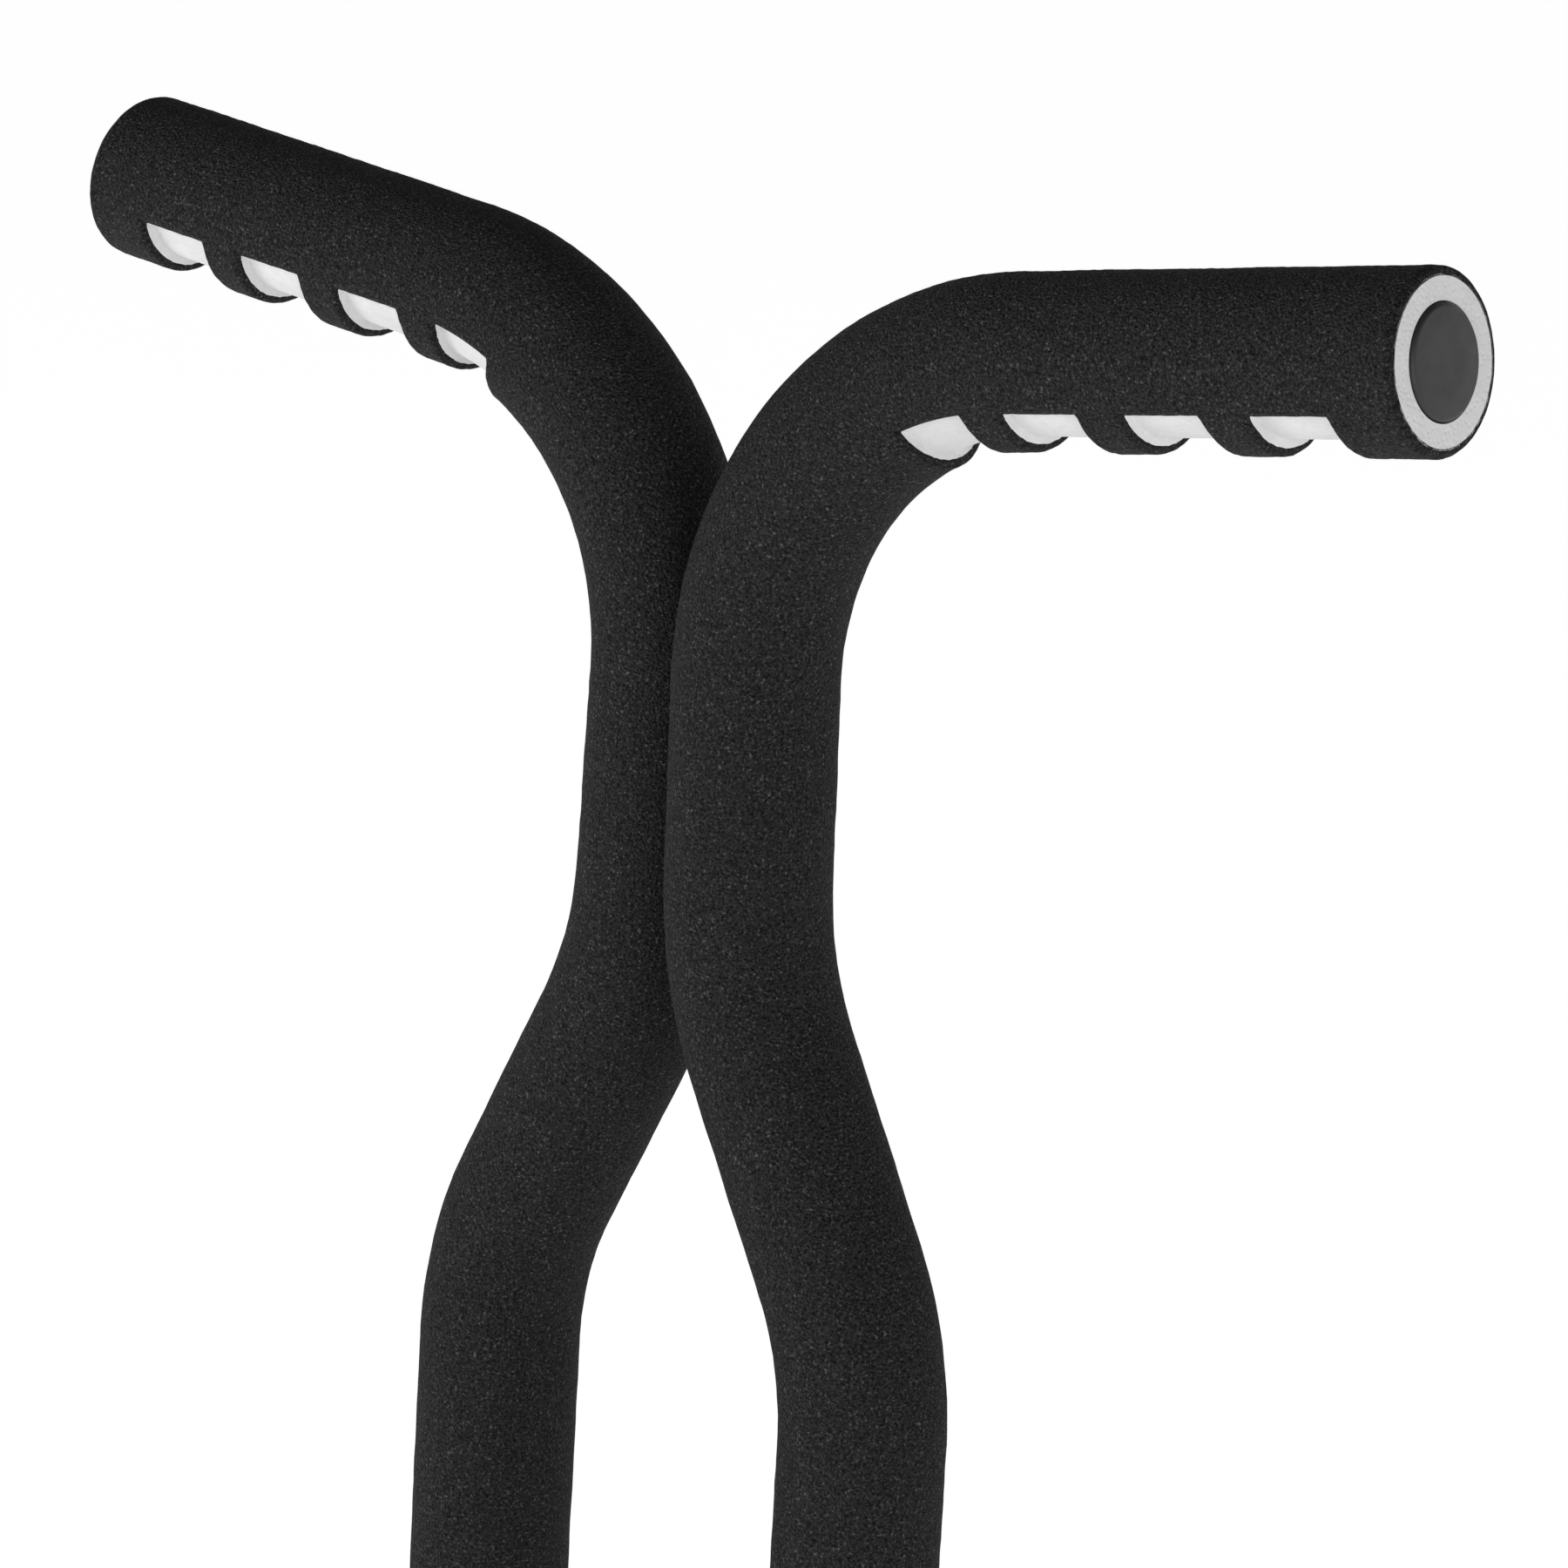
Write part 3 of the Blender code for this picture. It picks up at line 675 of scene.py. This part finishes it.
def swept(name, grid, joined=False, capped=False):
    """A mesh of a grid of rings, joined from last to first or capped with a face at each end."""
    columns = grid.shape[1]
    rows = np.arange(grid.shape[0] * columns).reshape(-1, columns)
    faces = quads(rows[:-1], rows[1:]).tolist()
    if joined:
        faces += quads(rows[-1], rows[0]).tolist()
    if capped:
        faces += [rows[0].tolist(), rows[-1].tolist()]
    mesh = bpy.data.meshes.new(name)
    mesh.from_pydata(grid.reshape(-1, 3).tolist(), [], faces)
    body = bmesh.new()
    body.from_mesh(mesh)
    return clean_mesh(body, name)


def socket_weld():
    """The weld bead round a socket's foot, with the ripples of its run."""
    around = np.linspace(0, 2 * math.pi, WELD_STEPS, endpoint=False)
    out = np.stack([np.cos(around), np.sin(around)], -1)
    run = (SOCKET_RADIUS + GAP) * around
    thick = WELD_RADIUS * (1 + WELD_RIPPLE_SHARE * np.abs(np.sin(math.pi * run / WELD_RIPPLE)))
    ring = np.linspace(0, 2 * math.pi, WELD_SIDES, endpoint=False)
    reach = SOCKET_RADIUS + GAP + thick[:, None] * np.cos(ring)
    height = PLATE_SIZE[2] + thick[:, None] * np.sin(ring)
    grid = np.stack([reach * out[:, :1], reach * out[:, 1:], height], -1)
    return swept("socket_weld", grid, joined=True)


def nut_piece():
    """The welded nut, its corners chamfered on the outer side."""
    nut = extruded("clamp_nut", hexagon(NUT_ACROSS_FLATS), 0, NUT_LENGTH)
    point = NUT_ACROSS_FLATS / math.sqrt(3)
    flat = NUT_ACROSS_FLATS / 2
    cone = turned("cone", [
        (0, NUT_LENGTH, 0), (flat, NUT_LENGTH, 0), (2 * point, NUT_LENGTH - (2 * point - flat) / 2, 0),
        (2 * point, -point, 0), (0, -point, 0),
    ])
    nut = combined(nut, "INTERSECT", (cone, Matrix.Identity(4)))
    past = NUT_LENGTH + CUTTER_EXCESS
    hole = cylinder("hole", STEM_RADIUS + GAP, -CUTTER_EXCESS, past, HOLE_STEPS)
    return combined(nut, "DIFFERENCE", (hole, Matrix.Identity(4)))


def stem_piece(low, high):
    """The clamp's threaded stem, with a plain tip that presses on the bar's tube."""
    rows = np.arange(low, high, THREAD_ROW)[:, None]
    angle = np.linspace(0, 2 * math.pi, STEM_COLUMNS, endpoint=False)
    turn = (rows / THREAD_PITCH + angle / (2 * math.pi)) % 1
    ridge = np.clip(THREAD_SLOPE * np.abs(turn - 0.5) - THREAD_CREST, 0, 1)
    threaded = np.clip((rows - low - STEM_TIP) / THREAD_START, 0, 1)
    radius = STEM_RADIUS - THREAD_DEPTH * (ridge * threaded + (1 - threaded))
    grid = np.broadcast_arrays(radius * np.cos(angle), radius * np.sin(angle), rows)
    return swept("clamp_stem", np.stack(grid, -1), capped=True)


def knob_piece():
    """The clamp knob: round lobes, rounded edges, a raised hub face and the stem's seat."""
    hub, groove = KNOB_HUB, KNOB_HUB_GROOVE
    rim = eased([
        (0, 0, 0), (KNOB_RADIUS, 0, 0.0015), (KNOB_RADIUS, KNOB_LENGTH, 0.0035),
        (hub + groove[0], KNOB_LENGTH - groove[1], 0.0008), (hub, KNOB_LENGTH, 0.0008),
        (0, KNOB_LENGTH, 0),
    ])
    profile = np.array([tuple(p) for p in rim])
    angle = np.linspace(0, 2 * math.pi, KNOB_COLUMNS, endpoint=False)
    lobe = KNOB_WAVE * (np.cos(KNOB_LOBES * angle) - 1)
    share = np.clip((profile[:, :1] - hub) / (KNOB_RADIUS - hub), 0, 1)
    radius = profile[:, :1] * (1 + lobe * share)
    heights = profile[:, 1:] + 0 * angle
    knob = swept("clamp_knob", np.stack([radius * np.cos(angle), radius * np.sin(angle), heights], -1))
    seat = cylinder("seat", STEM_RADIUS + GAP, -CUTTER_EXCESS, KNOB_LENGTH / 2, HOLE_STEPS)
    return combined(knob, "DIFFERENCE", (seat, Matrix.Identity(4)))


# ---------------------------------------------------------------- materials

class Recipe:
    """A material under construction: adds nodes and links them by their inputs' names."""

    def __init__(self, name, **inputs):
        self.material = bpy.data.materials.new(name)
        self.material.use_nodes = True
        self.tree = self.material.node_tree
        self.shader = self.tree.nodes["Principled BSDF"]
        self.set(self.shader, inputs)
        self.here = self.add("TexCoord").outputs["Object"]

    def set(self, node, inputs):
        for name, value in inputs.items():
            socket = node.inputs[name.replace("_", " ")]
            if isinstance(value, bpy.types.NodeSocket):
                self.tree.links.new(value, socket)
            else:
                socket.default_value = value

    def add(self, kind, settings=None, **inputs):
        node = self.tree.nodes.new("ShaderNode" + kind)
        for name, value in (settings or {}).items():
            setattr(node, name, value)
        self.set(node, inputs)
        return node

    def grain(self, size, detail=3.0, roughness=0.55, vector=None):
        """Noise from 0 to 1 with features of this size in metres."""
        vector = self.here if vector is None else vector
        inputs = {"Vector": vector, "Scale": 1 / size, "Detail": detail, "Roughness": roughness}
        return self.add("TexNoise", **inputs).outputs["Fac"]

    def pits(self, size):
        """Distance to the nearest of many points, this far apart."""
        return self.add("TexVoronoi", Vector=self.here, Scale=1 / size).outputs["Distance"]

    def ramp(self, value, low, high, start, end):
        """value mapped from low..high to start..end, clamped."""
        node = self.add("MapRange", Value=value)
        for name, number in (("From Min", low), ("From Max", high), ("To Min", start), ("To Max", end)):
            node.inputs[name].default_value = number
        return node.outputs["Result"]

    def blend(self, share, first, second):
        """A colour mixed from two by share; each may be a colour or a socket."""
        node = self.add("Mix", {"data_type": "RGBA"})
        self.tree.links.new(share, node.inputs["Factor"])
        for socket, value in ((node.inputs[6], first), (node.inputs[7], second)):
            if isinstance(value, bpy.types.NodeSocket):
                self.tree.links.new(value, socket)
            else:
                socket.default_value = (*value, 1)
        return node.outputs[2]

    def total(self, first, second, operation="ADD"):
        node = self.add("Math", {"operation": operation})
        for socket, value in zip(node.inputs, (first, second)):
            if isinstance(value, bpy.types.NodeSocket):
                self.tree.links.new(value, socket)
            else:
                socket.default_value = value
        return node.outputs[0]

    def bump(self, height, depth, strength=1.0):
        node = self.add("Bump", Height=height, Distance=depth, Strength=strength)
        self.set(self.shader, {"Normal": node.outputs["Normal"]})

    def finish(self, **inputs):
        self.set(self.shader, inputs)
        return self.material


def black_foam():
    """Closed-cell foam rubber: a fine pitted skin, faintly mottled, with tiny pale specks."""
    r = Recipe("black_foam", IOR=1.35, Specular_IOR_Level=0.2)
    pits = r.ramp(r.pits(0.0008), 0.10, 0.55, 0.0, 1.0)
    skin = r.grain(0.0005, 3, 0.6)
    height = r.total(r.total(pits, 0.6, "MULTIPLY"), skin)
    mottle = r.ramp(r.grain(0.0006, 2, 0.6), 0.34, 0.66, 0.0, 1.0)
    colour = r.blend(mottle, (0.006, 0.006, 0.0062), (0.042, 0.042, 0.0425))
    specks = r.ramp(r.grain(0.0006, 2, 0.5), 0.64, 0.72, 0.0, 0.8)
    colour = r.blend(specks, colour, (0.14, 0.14, 0.14))
    r.bump(height, 0.0010, 1.0)
    return r.finish(Base_Color=colour, Roughness=r.ramp(skin, 0.3, 0.7, 0.78, 0.95))


def white_foam():
    """The same foam in white, its pores a little darker."""
    r = Recipe("white_foam", IOR=1.35)
    pores = r.ramp(r.pits(0.0012), 0.05, 0.45, 0.0, 1.0)
    skin = r.grain(0.0008, 4, 0.6)
    colour = r.blend(r.ramp(r.grain(0.006), 0.35, 0.65, 0.0, 1.0), (0.62, 0.62, 0.62), (0.66, 0.66, 0.658))
    specks = r.ramp(r.grain(0.0006, 2, 0.5), 0.66, 0.76, 0.0, 0.5)
    colour = r.blend(specks, colour, (0.55, 0.55, 0.55))
    r.bump(r.total(pores, skin), 0.00025, 0.5)
    return r.finish(Base_Color=colour, Roughness=r.ramp(skin, 0.3, 0.7, 0.8, 0.95))


def moulded(name, dark, light, roughness, texture):
    """Moulded plastic with a fine satin texture and faint flow marks."""
    r = Recipe(name, IOR=1.46)
    flow = r.ramp(r.grain(0.009, 2), 0.35, 0.65, 0.0, 1.0)
    fine = r.grain(0.00035, 2, 0.6)
    r.bump(fine, texture, 0.5)
    rough_map = r.ramp(r.grain(0.004, 3), 0.3, 0.7, roughness - 0.05, roughness + 0.07)
    return r.finish(Base_Color=r.blend(flow, dark, light), Roughness=rough_map)


def powder_coat():
    """Black powder coat: orange peel, and edges rubbed slightly paler."""
    r = Recipe("painted_steel", IOR=1.5)
    peel = r.grain(0.0016, 2, 0.5)
    wear = r.ramp(r.grain(0.0045, 5, 0.65), 0.60, 0.74, 0.0, 0.5)
    colour = r.blend(wear, (0.022, 0.022, 0.024), (0.050, 0.050, 0.052))
    r.bump(peel, 0.00012, 0.6)
    return r.finish(Base_Color=colour, Roughness=r.ramp(peel, 0.3, 0.7, 0.38, 0.52))


def drawn_steel():
    """Bare tube: lengthwise drawing marks and a few dull patches."""
    r = Recipe("bare_steel", Metallic=1.0)
    stretched = r.add("Mapping", Vector=r.here)
    stretched.inputs["Scale"].default_value = (1, 1, 0.03)
    lines = r.grain(0.0005, 3, 0.6, stretched.outputs["Vector"])
    dull = r.ramp(r.grain(0.008, 4), 0.4, 0.7, 0.0, 1.0)
    r.bump(lines, 0.00004, 0.5)
    colour = r.blend(dull, (0.60, 0.61, 0.62), (0.46, 0.465, 0.47))
    return r.finish(Base_Color=colour, Roughness=r.ramp(lines, 0.3, 0.7, 0.24, 0.40))


def zinc_plate():
    """Zinc plating: pale, faintly blue and yellow by patches, with a satin grain."""
    r = Recipe("zinc", Metallic=1.0)
    patches = r.ramp(r.grain(0.005, 3), 0.38, 0.62, 0.0, 1.0)
    fine = r.grain(0.0005, 3, 0.6)
    r.bump(fine, 0.00003, 0.5)
    colour = r.blend(patches, (0.64, 0.66, 0.70), (0.68, 0.67, 0.61))
    return r.finish(Base_Color=colour, Roughness=r.ramp(fine, 0.3, 0.7, 0.26, 0.42))


def seamless_floor():
    r = Recipe("floor", Emission_Color=(1, 1, 1, 1), Emission_Strength=FLOOR_GLOW)
    tint = r.blend(r.ramp(r.grain(0.05, 3), 0.3, 0.7, 0.0, 1.0), (0.945, 0.945, 0.945), (0.95, 0.95, 0.95))
    return r.finish(Base_Color=tint, Roughness=0.9)


# ---------------------------------------------------------------- pieces in place

def piece(name, mesh, finish, body, node, place=None):
    """A visible piece that rides on a body, takes a slot's finish and stands for a CAD node."""
    obj = bpy.data.objects.new(name, mesh)
    bpy.context.scene.collection.objects.link(obj)
    if not mesh.materials:
        mesh.materials.append(finish)
        mesh.shade_smooth()
        mesh.set_sharp_from_angle(angle=SMOOTH_BELOW)
    if place:
        obj.matrix_world = place
    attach(obj, body)
    if node:
        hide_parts(node)
    return obj


def dress(finishes):
    """Makes every visible piece of the object."""
    sleeve, liner = foam_meshes()
    bar_pieces = {
        "foam_sleeve": (sleeve, "black_foam"),
        "foam_liner": (liner, "white_foam"),
        "tube": (tube_piece(), "bare_steel"),
        "foot_plug": (foot_plug_piece(), "black_plastic"),
    }
    fixed_pieces = {
        "socket": (socket_piece(), "painted_steel"),
        "socket_bush": (bush_piece(), "nylon"),
    }
    cap, collar, screw = cap_piece(), collar_piece(), collar_screw_piece()
    gusset, weld, nut, knob = gusset_piece(), socket_weld(), nut_piece(), knob_piece()
    nut_start = SOCKET_RADIUS + GAP
    knob_start = nut_start + NUT_LENGTH + KNOB_WAIST
    stem = stem_piece(TUBE_RADIUS + GAP, knob_start + KNOB_LENGTH / 2 - GAP)

    for side, half_turn, drop in (("right", 0.0, 0.0), ("left", math.pi, LEFT_BAR_DROP)):
        leg = Matrix.Rotation(half_turn, 4, "Z") @ Matrix.Translation((LEG_SPACING / 2, 0, 0))
        swivel = leg @ Matrix.Rotation(SWIVEL_AT_REST, 4, "Z")
        bar = Matrix.Translation((0, 0, -drop)) @ swivel
        on_bar, on_clamp = side + "_bar", side + "_clamp"

        def add(kind, mesh, slot, body, place):
            node = f"{side}_{kind}"
            return piece(node + "_detail", mesh, finishes[slot], body, node, place)

        for kind, (mesh, slot) in bar_pieces.items():
            made = add(kind, mesh, slot, on_bar, bar)
        add("handle_cap", cap, "grey_plastic", on_bar, bar @ handle_frame())
        add("height_collar", collar, "zinc", on_bar, swivel)
        add("collar_screw", screw, "zinc", on_bar, swivel @ collar_screw_place())
        for kind, (mesh, slot) in fixed_pieces.items():
            add(kind, mesh, slot, "base", leg)
        add("front_gusset", gusset, "painted_steel", "base", leg @ Matrix.Rotation(math.pi, 4, "Z"))
        add("rear_gusset", gusset, "painted_steel", "base", leg)
        clamp = leg @ Matrix.Translation((0, 0, CLAMP_HEIGHT)) @ TO_X
        add("clamp_nut", nut, "zinc", "base", clamp @ Matrix.Translation((0, 0, nut_start)))
        add("clamp_stem", stem, "zinc", on_clamp, clamp)
        add("clamp_knob", knob, "black_plastic", on_clamp, clamp @ Matrix.Translation((0, 0, knob_start)))
        piece(side + "_socket_weld", weld, finishes["painted_steel"], "base", None, leg)

    for node, mesh in (("base_plate", plate_piece()), ("cross_web", web_piece())):
        piece(node + "_detail", mesh, finishes["painted_steel"], "base", node)


# ---------------------------------------------------------------- stage

def aim(obj, place, target):
    """Puts obj at place with its -Z axis towards target."""
    turn = (Vector(place) - Vector(target)).to_track_quat("Z", "Y")
    obj.matrix_world = Matrix.Translation(place) @ turn.to_matrix().to_4x4()


def make_camera():
    data = bpy.data.cameras.new("camera")
    data.lens = CAMERA_LENS
    data.sensor_width = 36
    data.clip_end = 200
    camera = bpy.data.objects.new("camera", data)
    bpy.context.scene.collection.objects.link(camera)
    back = Vector((
        math.sin(CAMERA_YAW) * math.cos(CAMERA_PITCH),
        -math.cos(CAMERA_YAW) * math.cos(CAMERA_PITCH),
        math.sin(CAMERA_PITCH),
    ))
    right = Vector((math.cos(CAMERA_YAW), math.sin(CAMERA_YAW), 0))
    up = back.cross(right)
    turn = Matrix((right, up, back)).transposed().to_4x4()
    place = Vector(CAMERA_TARGET) + CAMERA_DISTANCE * back
    camera.matrix_world = Matrix.Translation(place) @ turn @ Matrix.Rotation(CAMERA_ROLL, 4, "Z")
    bpy.context.scene.camera = camera


def make_light(name, place, size, watts):
    data = bpy.data.lights.new(name, "AREA")
    data.shape = "DISK"
    data.size = size
    data.energy = watts
    light = bpy.data.objects.new(name, data)
    bpy.context.scene.collection.objects.link(light)
    aim(light, place, AIM)


def make_stage():
    world = bpy.data.worlds.new("studio")
    world.use_nodes = True
    nodes, links = world.node_tree.nodes, world.node_tree.links
    where = nodes.new("ShaderNodeTexCoord")
    split = nodes.new("ShaderNodeSeparateXYZ")
    fall = nodes.new("ShaderNodeMapRange")
    fall.interpolation_type = "SMOOTHSTEP"
    fall.inputs["From Min"].default_value, fall.inputs["From Max"].default_value = SKY_FADE
    fall.inputs["To Min"].default_value, fall.inputs["To Max"].default_value = SKY
    links.new(where.outputs["Generated"], split.inputs["Vector"])
    links.new(split.outputs["Z"], fall.inputs["Value"])
    links.new(fall.outputs["Result"], nodes["Background"].inputs["Strength"])
    nodes["Background"].inputs["Color"].default_value = (1, 1, 1, 1)
    bpy.context.scene.world = world
    bpy.context.scene.view_settings.view_transform = "Standard"
    half = FLOOR_SIZE / 2
    mesh = bpy.data.meshes.new("floor")
    corners = [(-half, -half, 0), (half, -half, 0), (half, half, 0), (-half, half, 0)]
    mesh.from_pydata(corners, [], [(0, 1, 2, 3)])
    mesh.materials.append(seamless_floor())
    floor = bpy.data.objects.new("floor", mesh)
    bpy.context.scene.collection.objects.link(floor)
    make_light("key", *KEY_LIGHT)
    make_light("fill", *FILL_LIGHT)
    make_camera()


make_stage()
dress({
    "black_foam": black_foam(),
    "white_foam": white_foam(),
    "grey_plastic": moulded("grey_plastic", (0.017, 0.017, 0.0174), (0.021, 0.021, 0.0214), 0.50, 0.00003),
    "black_plastic": moulded("black_plastic", (0.018, 0.018, 0.019), (0.026, 0.026, 0.027), 0.42, 0.00005),
    "nylon": moulded("nylon", (0.68, 0.67, 0.63), (0.74, 0.73, 0.69), 0.42, 0.00003),
    "bare_steel": drawn_steel(),
    "painted_steel": powder_coat(),
    "zinc": zinc_plate(),
})
